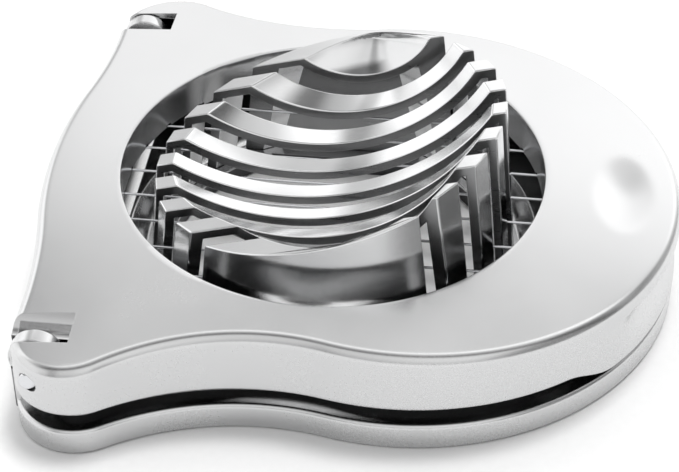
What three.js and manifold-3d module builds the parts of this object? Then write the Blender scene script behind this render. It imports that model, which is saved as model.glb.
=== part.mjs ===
// Egg slicer: a cast base that carries a cradle of nine ribs, and a hinged cast frame strung with
// eight cutting wires that come down through the gaps between the ribs.
//
// Millimetres. +X runs from the hinge to the thumb end, +Z is up, and the base stands on Z = 0.
// Every function below works about the axis of the frame's round opening (x = 0, y = 0); the
// group at the end moves the whole layout so that X = 0 is half way along the object.

import * as THREE from 'three';
import { mergeVertices } from 'three/addons/utils/BufferGeometryUtils.js';
import Module from 'manifold-3d';

const wasm = await Module();
wasm.setup();

// ---------------------------------------------------------------- driving dimensions

// Outline in plan, shared by the base and the frame: four round arcs joined by hollow ones.
const THUMB_ARC = { x: 14.2, y: 0, r: 48.2 };
const HORN_ARC = { x: -37.8, y: 45.6, r: 10.3 };
const HEEL_ARC = { x: 46.6, y: 0, r: 98.4 };
const WAIST_RADIUS = 47;
const HEEL_BLEND_RADIUS = 93;

// Heights above the table.
const FLANGE_TOP = 5.2;
const DECK_TOP = 7.6;
const SKIRT_BOTTOM = 8.9;
const WALL_BOTTOM = 14.0;
const WIRE_HEIGHT = 14.3;
const CROWN_HEIGHT = 22.8;
const RING_TOP = 3.5;

const CROWN_RADIUS = 524;
const OPENING_RADIUS = 38;
const OPENING_WALL = 2;
const SKIRT_WALL = 2.2;
const PLATE_THICKNESS = 2.4;
const EDGE_ROUND = 1;
const RIM_BEVEL = 0.3;

// Finger grip hollowed into the frame's thumb end, where the skirt also reaches lower.
const GRIP_DEPTH = 2.4;
const GRIP_SKIRT_DROP = 3.2;
const GRIP_LIP = 3;
const GRIP_FOOT_HEIGHT = 3.6;

// Base casting.
const FLANGE_BEVEL = 0.8;
const STEP_INSET = 4;
const DECK_INNER_RADIUS = 37;
const RING_OUTER_RADIUS = 34.2;
const RING_INNER_RADIUS = 29.8;
const HEEL_SEAT_HALF_WIDTH = 24;

// Hollows in the base's underside: one right under the flange, and a deeper one under the deck.
const RIM_HOLLOW = { inset: 2.6, innerRadius: 36.5, top: 2.8 };
const DECK_HOLLOW = { inset: 6.4, innerRadius: 39.5, top: 5.4 };

// Hinge: axis along Y through the two horns.
const HINGE = { x: -43.6, z: 14.05 };
const PIN_RADIUS = 1.5;
const PIN_INNER_Y = 40.9;
const PIN_OUTER_Y = 54;
const LUG_RADIUS = 4.6;
const LUG_INNER_Y = 46;
const LUG_OUTER_Y = 48.9;
const SLOT_INNER_Y = 45.7;
const SLOT_OUTER_Y = 49.2;
const SLOT_END_X = -37.6;
const HEEL_SWEEP_RADIUS = 8.45;
const HORN = { endX: -35.5, innerY: 39.5, top: 17.8, inset: 1 };
const WEB_HALF_WIDTH = 4.3;
const WEB_FOOT = 2;

// Hollow in the frame's top beside each lug: middle and half sizes of its oval section.
const SCOOP = { y: 46.2, z: 23.4, halfY: 4.4, halfZ: 7 };

// Cradle ribs.
const RIB_COUNT = 9;
const RIB_PITCH = 7.125;
const RIB_WIDTH = 3.55;
const RIB_FOOT = RING_TOP + 0.3;
const RIB_WALL = 1.6;
const STRAP_THICKNESS = 1.9;
const TILT_SLOPE = 0.276;
const TILT_HEIGHT = 28.64;
const CRADLE_RADIUS = 33.8;
const CRADLE_DRAFT = 0.09;
const CAP_RADIUS = 34;
const CAP_DRAFT = 0.06;
const CAP_DROP = 0.5;
const CAP_POCKET_DEPTH = 2;

// Egg bowl sunk into the ribs: half length, half width and depth at its middle.
const BOWL_HALF_LENGTH = 28.5;
const BOWL_HALF_WIDTH = 31.8;
const BOWL_DEPTH = 12.4;
const BOWL_SEGMENTS = 18;
// Towards its two sides the bowl moves up the slope.
const BOWL_END_SHIFT = 3.5;
const BOWL_SHIFT_START = 13;
const BOWL_SHIFT_END = 24;
const BOWL_MIDDLE_X = -0.5;

// Wires and what holds them.
const WIRE_COUNT = RIB_COUNT - 1;
const WIRE_RADIUS = 0.25;
const WIRE_HALF_LENGTH = 45.8;
const RAIL_X = 42.2;
const RAIL_THICKNESS = 2.4;
const RAIL_HALF_LENGTH = 28.6;
const RAIL_BOTTOM = 12.6;
const RAIL_TOP = 17;
const RAIL_PAD_Y = 29.6;
const RAIL_PAD_RADIUS = 2.9;
const RAIL_HOLE_RADIUS = 0.5;
const WIRE_NOTCH_HALF_WIDTH = 0.55;
const FERRULE_RADIUS = 0.95;
const FERRULE_LENGTH = 2.1;
const FERRULE_GAP = 0.1;
const SCREW_RADIUS = 1.1;
const SCREW_TOP = 18.7;
const SCREW_HEAD_RADIUS = 2.1;
const SCREW_HEAD_HEIGHT = 1.4;
const SCREW_SLOT = { halfWidth: 0.3, depth: 0.6 };
const BOSS_TOP = 19.2;

// Shallow oval rest for the thumb: where its middle is, its half sizes, and how high over the
// crown the middle stands.
const THUMB_REST = { x: 52, halfX: 7.3, halfY: 15, halfZ: 3.4, lift: 2.3 };

const GAP = 0.3;
const ROUND = 72;
// Reaches past the object's edge in every direction.
const BEYOND = 60;

// ---------------------------------------------------------------- materials

const castAluminium = { color: 0xe4e5e6, roughness: 0.25, metalness: 0.95 };
const polishedRib = { color: 0xd6d7d9, roughness: 0.14, metalness: 1 };
const stainlessWire = { color: 0xb8bbbf, roughness: 0.2, metalness: 1 };
const stainlessPin = { color: 0xa9acb0, roughness: 0.22, metalness: 1 };
const zincPlated = { color: 0x9c9fa3, roughness: 0.4, metalness: 1 };

// ---------------------------------------------------------------- solids and meshes

function solidFrom(geometry) {
  const bare = geometry.clone();
  bare.deleteAttribute('normal');
  bare.deleteAttribute('uv');
  const merged = mergeVertices(bare, 1e-4);
  const corners = merged.index.array;
  const kept = [];
  for (let i = 0; i < corners.length; i += 3) {
    const [a, b, c] = [corners[i], corners[i + 1], corners[i + 2]];
    if (a !== b && b !== c && c !== a) kept.push(a, b, c);
  }
  return new wasm.Manifold(new wasm.Mesh({
    numProp: 3,
    vertProperties: Float32Array.from(merged.attributes.position.array),
    triVerts: Uint32Array.from(kept),
  }));
}

function geometryFrom(solid) {
  const mesh = solid.getMesh();
  const geometry = new THREE.BufferGeometry();
  geometry.setAttribute('position', new THREE.BufferAttribute(mesh.vertProperties, 3));
  geometry.setIndex(new THREE.BufferAttribute(mesh.triVerts, 1));
  geometry.computeVertexNormals();
  return geometry;
}

function piece(name, solid, look) {
  const mesh = new THREE.Mesh(geometryFrom(solid), new THREE.MeshStandardMaterial(look));
  mesh.name = name;
  return mesh;
}

function block(x0, x1, y0, y1, z0, z1) {
  const geometry = new THREE.BoxGeometry(x1 - x0, y1 - y0, z1 - z0);
  geometry.translate((x0 + x1) / 2, (y0 + y1) / 2, (z0 + z1) / 2);
  return solidFrom(geometry);
}

function uprightCylinder(radius, x, y, z0, z1, segments) {
  const geometry = new THREE.CylinderGeometry(radius, radius, z1 - z0, segments);
  geometry.rotateX(Math.PI / 2);
  geometry.translate(x, y, (z0 + z1) / 2);
  return solidFrom(geometry);
}

function cylinderAlongY(radius, x, z, y0, y1, segments) {
  const geometry = new THREE.CylinderGeometry(radius, radius, y1 - y0, segments);
  geometry.translate(x, (y0 + y1) / 2, z);
  return solidFrom(geometry);
}

function cylinderAlongX(radius, y, z, x0, x1, segments) {
  const geometry = new THREE.CylinderGeometry(radius, radius, x1 - x0, segments);
  geometry.rotateZ(Math.PI / 2);
  geometry.translate((x0 + x1) / 2, y, z);
  return solidFrom(geometry);
}

// Solid of revolution about the opening's axis; the profile is a list of [radius, height].
function turned(profile, segments) {
  const geometry = new THREE.LatheGeometry(profile.map(([r, z]) => new THREE.Vector2(r, z)), segments);
  geometry.rotateX(Math.PI / 2);
  return solidFrom(geometry);
}

// Closed solid through a row of closed sections with the same number of points each. The row runs
// towards -Y, and each section runs counter-clockwise as seen from -Y.
function loft(sections) {
  const count = sections[0].length;
  const points = sections.flat();
  const index = [];
  for (let s = 0; s < sections.length - 1; s += 1) {
    for (let i = 0; i < count; i += 1) {
      const j = (i + 1) % count;
      const [a, b] = [s * count + i, s * count + j];
      index.push(a, b, b + count, a, b + count, a + count);
    }
  }
  const flat = (section) => section.map((p) => new THREE.Vector2(p.x, p.z));
  const last = (sections.length - 1) * count;
  for (const [a, b, c] of THREE.ShapeUtils.triangulateShape(flat(sections[0]), [])) {
    index.push(a, c, b);
  }
  for (const [a, b, c] of THREE.ShapeUtils.triangulateShape(flat(sections.at(-1)), [])) {
    index.push(last + a, last + b, last + c);
  }
  return solidFrom(new THREE.BufferGeometry().setFromPoints(points).setIndex(index));
}

// Closed ring through a row of closed loops, the last of which joins the first again.
function ringSolid(loops) {
  const count = loops[0].length;
  const index = [];
  for (let s = 0; s < loops.length; s += 1) {
    const next = (s + 1) % loops.length;
    for (let i = 0; i < count; i += 1) {
      const j = (i + 1) % count;
      const [a, b, c, d] = [s * count + i, s * count + j, next * count + j, next * count + i];
      index.push(a, b, c, a, c, d);
    }
  }
  return solidFrom(new THREE.BufferGeometry().setFromPoints(loops.flat()).setIndex(index));
}

// ---------------------------------------------------------------- outline

// Hollow arc that touches the round arcs a and b from outside, met after a on the way round.
function hollowBetween(a, b, r) {
  const [dx, dy] = [b.x - a.x, b.y - a.y];
  const distance = Math.hypot(dx, dy);
  const along = ((a.r + r) ** 2 - (b.r + r) ** 2 + distance ** 2) / (2 * distance);
  const across = Math.sqrt((a.r + r) ** 2 - along ** 2);
  return {
    x: a.x + (dx * along + dy * across) / distance,
    y: a.y + (dy * along - dx * across) / distance,
    r,
  };
}

const waistArc = hollowBetween(THUMB_ARC, HORN_ARC, WAIST_RADIUS);
const heelBlendArc = hollowBetween(HORN_ARC, HEEL_ARC, HEEL_BLEND_RADIUS);

function bearing(from, to) {
  return Math.atan2(to.y - from.y, to.x - from.x);
}

// Outline as a closed loop of points, moved inwards by `inset`, counter-clockwise from the
// thumb end. Every inset gives the same number of points, so that loops can be joined up.
function outline(inset) {
  const half = [];
  const addArc = (arc, start, end, steps, hollow) => {
    const radius = hollow ? arc.r + inset : arc.r - inset;
    const curve = new THREE.EllipseCurve(arc.x, arc.y, radius, radius, start, end, hollow);
    half.push(...curve.getPoints(steps).slice(half.length ? 1 : 0));
  };
  addArc(THUMB_ARC, 0, bearing(THUMB_ARC, waistArc), 17, false);
  addArc(waistArc, bearing(waistArc, THUMB_ARC), bearing(waistArc, HORN_ARC), 7, true);
  addArc(HORN_ARC, bearing(HORN_ARC, waistArc), bearing(HORN_ARC, heelBlendArc), 11, false);
  addArc(heelBlendArc, bearing(heelBlendArc, HORN_ARC), bearing(heelBlendArc, HEEL_ARC), 5, true);
  addArc(HEEL_ARC, bearing(HEEL_ARC, heelBlendArc), Math.PI, 4, false);
  const mirrored = half.slice(1, -1).reverse().map((p) => new THREE.Vector2(p.x, -p.y));
  return [...half, ...mirrored];
}

function outlinePrism(inset, z0, z1) {
  const shape = new THREE.Shape(outline(inset));
  const geometry = new THREE.ExtrudeGeometry(shape, { depth: z1 - z0, bevelEnabled: false });
  geometry.translate(0, 0, z0);
  return solidFrom(geometry);
}

// ---------------------------------------------------------------- base

function hingeLug(side) {
  const [y0, y1] = [LUG_INNER_Y * side, LUG_OUTER_Y * side].sort((a, b) => a - b);
  const knuckle = cylinderAlongY(LUG_RADIUS, HINGE.x, HINGE.z, y0, y1, 32);
  const [x0, x1] = [HINGE.x - WEB_HALF_WIDTH, HINGE.x + WEB_HALF_WIDTH];
  const web = block(x0, x1, y0, y1, WEB_FOOT, HINGE.z);
  const bore = cylinderAlongY(PIN_RADIUS + 0.1, HINGE.x, HINGE.z, y0 - 1, y1 + 1, 32);
  return knuckle.add(web).subtract(bore);
}

function baseCasting() {
  const flangeGeometry = new THREE.ExtrudeGeometry(new THREE.Shape(outline(FLANGE_BEVEL)), {
    depth: FLANGE_TOP - 2 * FLANGE_BEVEL,
    bevelSize: FLANGE_BEVEL,
    bevelThickness: FLANGE_BEVEL,
    bevelSegments: 2,
    steps: 1,
  });
  flangeGeometry.translate(0, 0, FLANGE_BEVEL);
  const flange = solidFrom(flangeGeometry);

  // The frame's rounded heel swings through the relief, and its edge comes down on the flange
  // behind the step when the slicer is open.
  const heelRelief = cylinderAlongY(
    HEEL_SWEEP_RADIUS + GAP,
    HINGE.x,
    HINGE.z,
    -BEYOND,
    BEYOND,
    48,
  );
  const heelSeat = block(
    -BEYOND,
    HINGE.x,
    -HEEL_SEAT_HALF_WIDTH,
    HEEL_SEAT_HALF_WIDTH,
    FLANGE_TOP,
    DECK_TOP + 1,
  );
  const step = outlinePrism(STEP_INSET, FLANGE_TOP / 2, DECK_TOP)
    .subtract(heelRelief)
    .subtract(heelSeat);

  // Round well under the opening, with a hollow flank down to the ring that carries the ribs.
  const flank = new THREE.QuadraticBezierCurve(
    new THREE.Vector2(RING_OUTER_RADIUS, RING_TOP),
    new THREE.Vector2(DECK_INNER_RADIUS - 0.6, RING_TOP + 0.8),
    new THREE.Vector2(DECK_INNER_RADIUS, DECK_TOP),
  );
  const well = turned([
    [0, RING_TOP],
    ...flank.getPoints(5).map((p) => [p.x, p.y]),
    [DECK_INNER_RADIUS, DECK_TOP + 2],
    [0, DECK_TOP + 2],
  ], ROUND);

  // Passage through the ring; its straight sides leave the two end caps something to stand on.
  const capFoot = RIB_PITCH * 4 - RIB_WIDTH / 2 - 1;
  const passage = uprightCylinder(RING_INNER_RADIUS, 0, 0, -1, RING_TOP + 1, ROUND)
    .intersect(block(-BEYOND, BEYOND, -capFoot, capFoot, -2, RING_TOP + 2));

  const hollow = ({ inset, innerRadius, top }) => outlinePrism(inset, -1, top)
    .subtract(uprightCylinder(innerRadius, 0, 0, -2, top + 1, ROUND));
  const heelBack = block(-BEYOND, HINGE.x + HEEL_SWEEP_RADIUS + 1, -BEYOND, BEYOND, -2, DECK_TOP);

  return flange.add(step)
    .subtract(well)
    .subtract(passage)
    .subtract(hollow(RIM_HOLLOW))
    .subtract(hollow(DECK_HOLLOW).subtract(heelBack))
    .add(hingeLug(1))
    .add(hingeLug(-1));
}

// ---------------------------------------------------------------- cradle ribs

function smoothstep(value, low, high) {
  const t = THREE.MathUtils.clamp((value - low) / (high - low), 0, 1);
  return t * t * (3 - 2 * t);
}

// Section of the egg bowl at a distance y from the middle: an arc, by its half chord in the
// sloping top plane, its depth under it, and the x of its middle.
function bowlSection(y) {
  const reach = Math.abs(y) / BOWL_HALF_WIDTH;
  const halfChord = BOWL_HALF_LENGTH * (1 - reach ** 1.6) ** 0.6;
  const depth = BOWL_DEPTH * (1 - reach ** 1.8) ** 0.5;
  const shift = BOWL_END_SHIFT * smoothstep(Math.abs(y), BOWL_SHIFT_START, BOWL_SHIFT_END);
  const radius = (halfChord ** 2 + depth ** 2) / (2 * depth);
  return { halfChord, depth, middle: BOWL_MIDDLE_X + shift, radius };
}

const tiltAngle = Math.atan(TILT_SLOPE);

// Point sunk at right angles below the sloping top plane, under the plane's point at a given x.
function onTilt(x, sunk, y) {
  return new THREE.Vector3(
    x + sunk * Math.sin(tiltAngle),
    y,
    TILT_HEIGHT + x * TILT_SLOPE - sunk * Math.cos(tiltAngle),
  );
}

// Arc of the bowl from -X to +X.
function bowlArc(y) {
  const { halfChord, depth, middle, radius } = bowlSection(y);
  const half = Math.asin(halfChord / radius);
  const points = [];
  for (let i = 0; i <= BOWL_SEGMENTS; i += 1) {
    const angle = half * (2 * i / BOWL_SEGMENTS - 1);
    const sunk = radius * Math.cos(angle) - (radius - depth);
    points.push(onTilt(middle + radius * Math.sin(angle), sunk, y));
  }
  return points;
}

// X of the cradle's drafted outer face, `wall` mm in from it, at a height z and a distance y.
function cradleX(z, y, wall) {
  const radius = CRADLE_RADIUS - CRADLE_DRAFT * z - wall;
  return Math.sqrt(radius ** 2 - y ** 2);
}

// Where that face meets the top plane, or the plane `sunk` mm under it, at one end of a rib.
function ribCorner(y, wall, sunk, end) {
  let x = end * 30;
  for (let i = 0; i < 6; i += 1) {
    const z = TILT_HEIGHT + TILT_SLOPE * x - sunk / Math.cos(tiltAngle);
    x = end * cradleX(z, y, wall);
  }
  return new THREE.Vector3(x, y, TILT_HEIGHT + TILT_SLOPE * x - sunk / Math.cos(tiltAngle));
}

function ribFoot(y, wall, end) {
  return new THREE.Vector3(end * cradleX(RIB_FOOT, y, wall), y, RIB_FOOT);
}

// Underside of the strap from one leg to the other: it follows the bowl at the strap's thickness,
// and the flats where the bowl stops short of the legs.
function ribUnderside(y) {
  const { depth, middle, radius } = bowlSection(y);
  const arcRadius = radius + STRAP_THICKNESS;
  const arcAt = (angle) => {
    const sunk = arcRadius * Math.cos(angle) - (radius - depth);
    return onTilt(middle + arcRadius * Math.sin(angle), sunk, y);
  };
  const pastLeg = (point) => Math.abs(point.x) > cradleX(point.z, y, RIB_WALL);
  const half = Math.acos((radius - depth + STRAP_THICKNESS) / arcRadius);
  const [low, high] = [-half, half].map((end) => {
    if (!pastLeg(arcAt(end))) return end;
    let [inside, outside] = [0, end];
    for (let i = 0; i < 24; i += 1) {
      const angle = (inside + outside) / 2;
      if (pastLeg(arcAt(angle))) outside = angle;
      else inside = angle;
    }
    return inside;
  });
  const arc = [];
  for (let i = 0; i <= BOWL_SEGMENTS; i += 1) {
    arc.push(arcAt(THREE.MathUtils.lerp(low, high, i / BOWL_SEGMENTS)));
  }
  // Corners between leg and flat. Where a leg cuts into the arc there is no flat, and the corner
  // is a point on the leg under the arc's end.
  const cornerDrop = 0.6;
  const corners = [-1, 1].map((end) => {
    const arcEnd = end < 0 ? arc[0] : arc.at(-1);
    const angle = end < 0 ? low : high;
    if (angle === end * half) return ribCorner(y, RIB_WALL, STRAP_THICKNESS, end);
    const z = arcEnd.z - cornerDrop;
    return new THREE.Vector3(end * cradleX(z, y, RIB_WALL), y, z);
  });
  return [corners[0], ...arc, corners[1]];
}

// Opening under the strap and between the legs.
function archSection(y) {
  return [ribFoot(y, RIB_WALL, -1), ...ribUnderside(y), ribFoot(y, RIB_WALL, 1)];
}

// Leg, flat, bowl, flat and leg again, as a strap that leaves an open arch underneath.
function ribSection(y) {
  const upperSide = [
    ribFoot(y, 0, 1),
    ribCorner(y, 0, 0, 1),
    ...bowlArc(y).reverse(),
    ribCorner(y, 0, 0, -1),
    ribFoot(y, 0, -1),
  ];
  return [...upperSide, ...archSection(y)];
}

function strapRib(centreY) {
  return loft([ribSection(centreY + RIB_WIDTH / 2), ribSection(centreY - RIB_WIDTH / 2)]);
}

// First and last rib: the rest of the disc, scooped like the edge of a spoon, with a pocket in its
// inner face that is as wide and high as the other ribs' arches.
function capRib(side) {
  const inner = RIB_PITCH * 4 - RIB_WIDTH / 2;
  const top = 45;
  const cone = turned([
    [0, RIB_FOOT],
    [CAP_RADIUS - CAP_DRAFT * RIB_FOOT, RIB_FOOT],
    [CAP_RADIUS - CAP_DRAFT * top, top],
    [0, top],
  ], ROUND);
  const [y0, y1] = [inner * side, BEYOND * side].sort((a, b) => a - b);
  const slab = cone.intersect(block(-BEYOND, BEYOND, y0, y1, 0, top));
  const towardsMinusY = (sections) => (side > 0 ? sections.reverse() : sections);

  const above = 14;
  const bowl = loft(towardsMinusY([-0.2, 0.2, 0.45, 0.65, 0.82, 0.94, 0.99].map((share) => {
    const arc = bowlArc(THREE.MathUtils.lerp(inner, BOWL_HALF_WIDTH, share) * side);
    const lift = (p) => new THREE.Vector3(p.x, p.y, p.z + above);
    return [...arc, lift(arc.at(-1)), lift(arc[0])];
  })));

  const pocket = loft(towardsMinusY([inner - 1, inner + CAP_POCKET_DEPTH].map((y) => (
    archSection(y * side).reverse()
  ))));

  const lid = new THREE.BoxGeometry(2 * BEYOND, 2 * BEYOND, top);
  lid.translate(0, 0, top / 2 - CAP_DROP);
  lid.rotateY(-tiltAngle);
  lid.translate(0, 0, TILT_HEIGHT);
  return slab.subtract(solidFrom(lid)).subtract(bowl).subtract(pocket);
}

// ---------------------------------------------------------------- frame

function crownAt(p) {
  return CROWN_HEIGHT - CROWN_RADIUS + Math.sqrt(CROWN_RADIUS ** 2 - p.x ** 2 - p.y ** 2);
}

// How deep the finger grip at the thumb end is at a point, from 0 beside it to 1 in its middle.
function gripAt(p) {
  return smoothstep(p.x, 51, 59);
}

function skirtBottomAt(p) {
  return SKIRT_BOTTOM - GRIP_SKIRT_DROP * smoothstep(p.x, 44, 52);
}

// Closed loops of the frame's section, outer skirt first and back to its inner side.
function frameLoops() {
  const edge = outline(0);
  const bearings = edge.map((p) => Math.atan2(p.y, p.x));
  const lift = (points, height) => points.map((p, i) => new THREE.Vector3(p.x, p.y, height(p, i)));
  const circle = (radius) => bearings.map((a) => (
    new THREE.Vector2(radius * Math.cos(a), radius * Math.sin(a))
  ));

  // Outer wall, hollowed most just below the lip, where fingers lift the frame.
  const wall = (share) => {
    const sunk = GRIP_DEPTH * Math.sin(Math.PI * share ** 1.8);
    const moved = outline(1).map((p, i) => edge[i].clone().lerp(p, sunk * gripAt(edge[i])));
    return lift(moved, (p, i) => THREE.MathUtils.lerp(
      skirtBottomAt(edge[i]),
      crownAt(edge[i]) - GRIP_LIP,
      share,
    ));
  };
  const underPlate = (p) => crownAt(p) - PLATE_THICKNESS;
  const insideFoot = outline(SKIRT_WALL);
  const inside = outline(SKIRT_WALL + GRIP_DEPTH).map((p, i) => (
    insideFoot[i].clone().lerp(p, gripAt(edge[i]))
  ));
  const shoulder = outline(EDGE_ROUND);
  const rim = circle(OPENING_RADIUS + RIM_BEVEL);
  const halfWay = shoulder.map((p, i) => p.clone().lerp(rim[i], 0.5));

  return [
    wall(0),
    wall(0.35),
    wall(0.6),
    wall(0.8),
    wall(1),
    lift(edge, (p) => crownAt(p) - EDGE_ROUND),
    lift(outline(EDGE_ROUND * 0.3), (p) => crownAt(p) - EDGE_ROUND * 0.3),
    lift(shoulder, crownAt),
    lift(halfWay, crownAt),
    lift(rim, crownAt),
    lift(circle(OPENING_RADIUS), (p) => crownAt(p) - RIM_BEVEL),
    lift(circle(OPENING_RADIUS), () => WALL_BOTTOM),
    lift(circle(OPENING_RADIUS + OPENING_WALL), () => WALL_BOTTOM),
    lift(circle(OPENING_RADIUS + OPENING_WALL), underPlate),
    lift(inside, underPlate),
    lift(inside, (p, i) => skirtBottomAt(edge[i]) + GRIP_FOOT_HEIGHT),
    lift(insideFoot, (p, i) => skirtBottomAt(edge[i])),
  ];
}

function scoop(side) {
  const trough = new THREE.CylinderGeometry(1, 1, 2 * BEYOND, 40);
  trough.rotateZ(Math.PI / 2);
  trough.scale(1, SCOOP.halfY, SCOOP.halfZ);
  trough.translate(0, SCOOP.y * side, SCOOP.z);
  const [y0, y1] = [0, (SLOT_INNER_Y + 0.1) * side].sort((a, b) => a - b);
  return solidFrom(trough).intersect(block(-BEYOND + 1, SLOT_END_X, y0, y1, 0, SCOOP.z));
}

function topFrame() {
  let casting = ringSolid(frameLoops());

  // Horns are cast solid around the hinge pins.
  const hornBlock = block(-BEYOND, HORN.endX, HORN.innerY, BEYOND, SKIRT_BOTTOM, HORN.top);
  const horns = hornBlock.add(hornBlock.mirror([0, 1, 0]))
    .intersect(outlinePrism(HORN.inset, SKIRT_BOTTOM, HORN.top));
  casting = casting.add(horns);

  // Bosses under the plate for the screws of the two wire rails.
  for (const x of [-RAIL_X, RAIL_X]) {
    for (const y of [-RAIL_PAD_Y, RAIL_PAD_Y]) {
      const boss = uprightCylinder(RAIL_PAD_RADIUS, x, y, RAIL_TOP + GAP, BOSS_TOP, 20);
      const bore = uprightCylinder(SCREW_RADIUS + 0.15, x, y, RAIL_TOP, BOSS_TOP - GAP, 16);
      casting = casting.add(boss).subtract(bore);
    }
  }

  // Rounded heel that swings down behind the base as the frame opens.
  const sweep = cylinderAlongY(HEEL_SWEEP_RADIUS, HINGE.x, HINGE.z, -BEYOND - 1, BEYOND + 1, 48);
  const heelCorner = block(-BEYOND, HINGE.x, -BEYOND, BEYOND, 0, HINGE.z).subtract(sweep);
  casting = casting.subtract(heelCorner);

  for (const side of [-1, 1]) {
    const [y0, y1] = [SLOT_INNER_Y * side, SLOT_OUTER_Y * side].sort((a, b) => a - b);
    const [b0, b1] = [(PIN_INNER_Y - GAP) * side, BEYOND * side].sort((a, b) => a - b);
    const slot = block(-BEYOND, SLOT_END_X, y0, y1, 0, CROWN_HEIGHT + 1);
    const bore = cylinderAlongY(PIN_RADIUS + 0.1, HINGE.x, HINGE.z, b0, b1, 32);
    casting = casting.subtract(slot).subtract(bore).subtract(scoop(side));
  }

  // Notches in the opening's wall that the wires pass through.
  const notchReach = OPENING_RADIUS + OPENING_WALL + 1;
  const notchTop = WIRE_HEIGHT + WIRE_NOTCH_HALF_WIDTH;
  for (const y of wireRows()) {
    const [y0, y1] = [y - WIRE_NOTCH_HALF_WIDTH, y + WIRE_NOTCH_HALF_WIDTH];
    casting = casting.subtract(block(-notchReach, notchReach, y0, y1, WALL_BOTTOM - 1, notchTop));
  }

  const { x, halfX, halfY, halfZ, lift } = THUMB_REST;
  const thumbRest = new THREE.SphereGeometry(1, 32, 16);
  thumbRest.scale(halfX, halfY, halfZ);
  thumbRest.translate(x, 0, crownAt({ x, y: 0 }) + lift);
  return casting.subtract(solidFrom(thumbRest));
}

// ---------------------------------------------------------------- wires and hinge pins

function wireRows() {
  return Array.from({ length: WIRE_COUNT }, (_, i) => (i - (WIRE_COUNT - 1) / 2) * RIB_PITCH);
}

function cuttingWire(y) {
  return cylinderAlongX(WIRE_RADIUS, y, WIRE_HEIGHT, -WIRE_HALF_LENGTH, WIRE_HALF_LENGTH, 10);
}

function ferrule(y, end) {
  const near = RAIL_X + RAIL_THICKNESS / 2 + FERRULE_GAP;
  const [x0, x1] = [near * end, (near + FERRULE_LENGTH) * end].sort((a, b) => a - b);
  const body = cylinderAlongX(FERRULE_RADIUS, y, WIRE_HEIGHT, x0, x1, 12);
  return body.subtract(cylinderAlongX(WIRE_RADIUS + 0.12, y, WIRE_HEIGHT, x0 - 1, x1 + 1, 10));
}

function wireRail(end) {
  const x = RAIL_X * end;
  let rail = block(
    x - RAIL_THICKNESS / 2,
    x + RAIL_THICKNESS / 2,
    -RAIL_HALF_LENGTH,
    RAIL_HALF_LENGTH,
    RAIL_BOTTOM,
    RAIL_TOP,
  );
  for (const y of [-RAIL_PAD_Y, RAIL_PAD_Y]) {
    rail = rail.add(uprightCylinder(RAIL_PAD_RADIUS, x, y, RAIL_BOTTOM, RAIL_TOP, 24));
    rail = rail.subtract(uprightCylinder(SCREW_RADIUS + GAP, x, y, 0, CROWN_HEIGHT, 16));
  }
  for (const y of wireRows()) {
    const [x0, x1] = [x - RAIL_THICKNESS, x + RAIL_THICKNESS];
    rail = rail.subtract(cylinderAlongX(RAIL_HOLE_RADIUS, y, WIRE_HEIGHT, x0, x1, 10));
  }
  return rail;
}

// Pan-head screw, driven upwards through the rail's pad, with a slot for the driver.
function railScrew(end, side) {
  const [x, y] = [RAIL_X * end, RAIL_PAD_Y * side];
  const headTop = RAIL_BOTTOM - 0.1;
  const headBottom = headTop - SCREW_HEAD_HEIGHT;
  const head = uprightCylinder(SCREW_HEAD_RADIUS, x, y, headBottom, headTop, 24);
  const shank = uprightCylinder(SCREW_RADIUS, x, y, headTop - 0.4, SCREW_TOP, 16);
  const slot = block(
    x - SCREW_HEAD_RADIUS - 1,
    x + SCREW_HEAD_RADIUS + 1,
    y - SCREW_SLOT.halfWidth,
    y + SCREW_SLOT.halfWidth,
    headBottom - 1,
    headBottom + SCREW_SLOT.depth,
  );
  return head.add(shank).subtract(slot);
}

function hingePin(side) {
  const [y0, y1] = [PIN_INNER_Y * side, PIN_OUTER_Y * side].sort((a, b) => a - b);
  return cylinderAlongY(PIN_RADIUS, HINGE.x, HINGE.z, y0, y1, 32);
}

// ---------------------------------------------------------------- assembly

const base = new THREE.Group();
base.add(piece('base_casting', baseCasting(), castAluminium));
base.add(piece('cradle_cap_front', capRib(-1), polishedRib));
for (let i = 1; i < RIB_COUNT - 1; i += 1) {
  const centreY = (i - (RIB_COUNT - 1) / 2) * RIB_PITCH;
  base.add(piece(`cradle_rib_${i}`, strapRib(centreY), polishedRib));
}
base.add(piece('cradle_cap_rear', capRib(1), polishedRib));

const frame = new THREE.Group();
frame.add(piece('top_frame', topFrame(), castAluminium));
frame.add(piece('wire_rail_hinge_side', wireRail(-1), zincPlated));
frame.add(piece('wire_rail_thumb_side', wireRail(1), zincPlated));
wireRows().forEach((y, i) => {
  frame.add(piece(`cutting_wire_${i + 1}`, cuttingWire(y), stainlessWire));
  frame.add(piece(`wire_ferrule_hinge_side_${i + 1}`, ferrule(y, -1), zincPlated));
  frame.add(piece(`wire_ferrule_thumb_side_${i + 1}`, ferrule(y, 1), zincPlated));
});
let screwNumber = 1;
for (const end of [-1, 1]) {
  for (const side of [-1, 1]) {
    frame.add(piece(`rail_screw_${screwNumber}`, railScrew(end, side), zincPlated));
    screwNumber += 1;
  }
}
frame.add(piece('hinge_pin_front', hingePin(-1), stainlessPin));
frame.add(piece('hinge_pin_rear', hingePin(1), stainlessPin));

// Half way between the heel and the thumb end.
const middleX = (THUMB_ARC.x + THUMB_ARC.r + HEEL_ARC.x - HEEL_ARC.r) / 2;
const eggSlicer = new THREE.Group();
eggSlicer.name = 'egg_slicer';
eggSlicer.position.x = -middleX;
eggSlicer.add(base, frame);

export default eggSlicer;
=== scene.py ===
import bisect
import math

import bmesh
import bpy
from mathutils import Matrix, Vector


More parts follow.
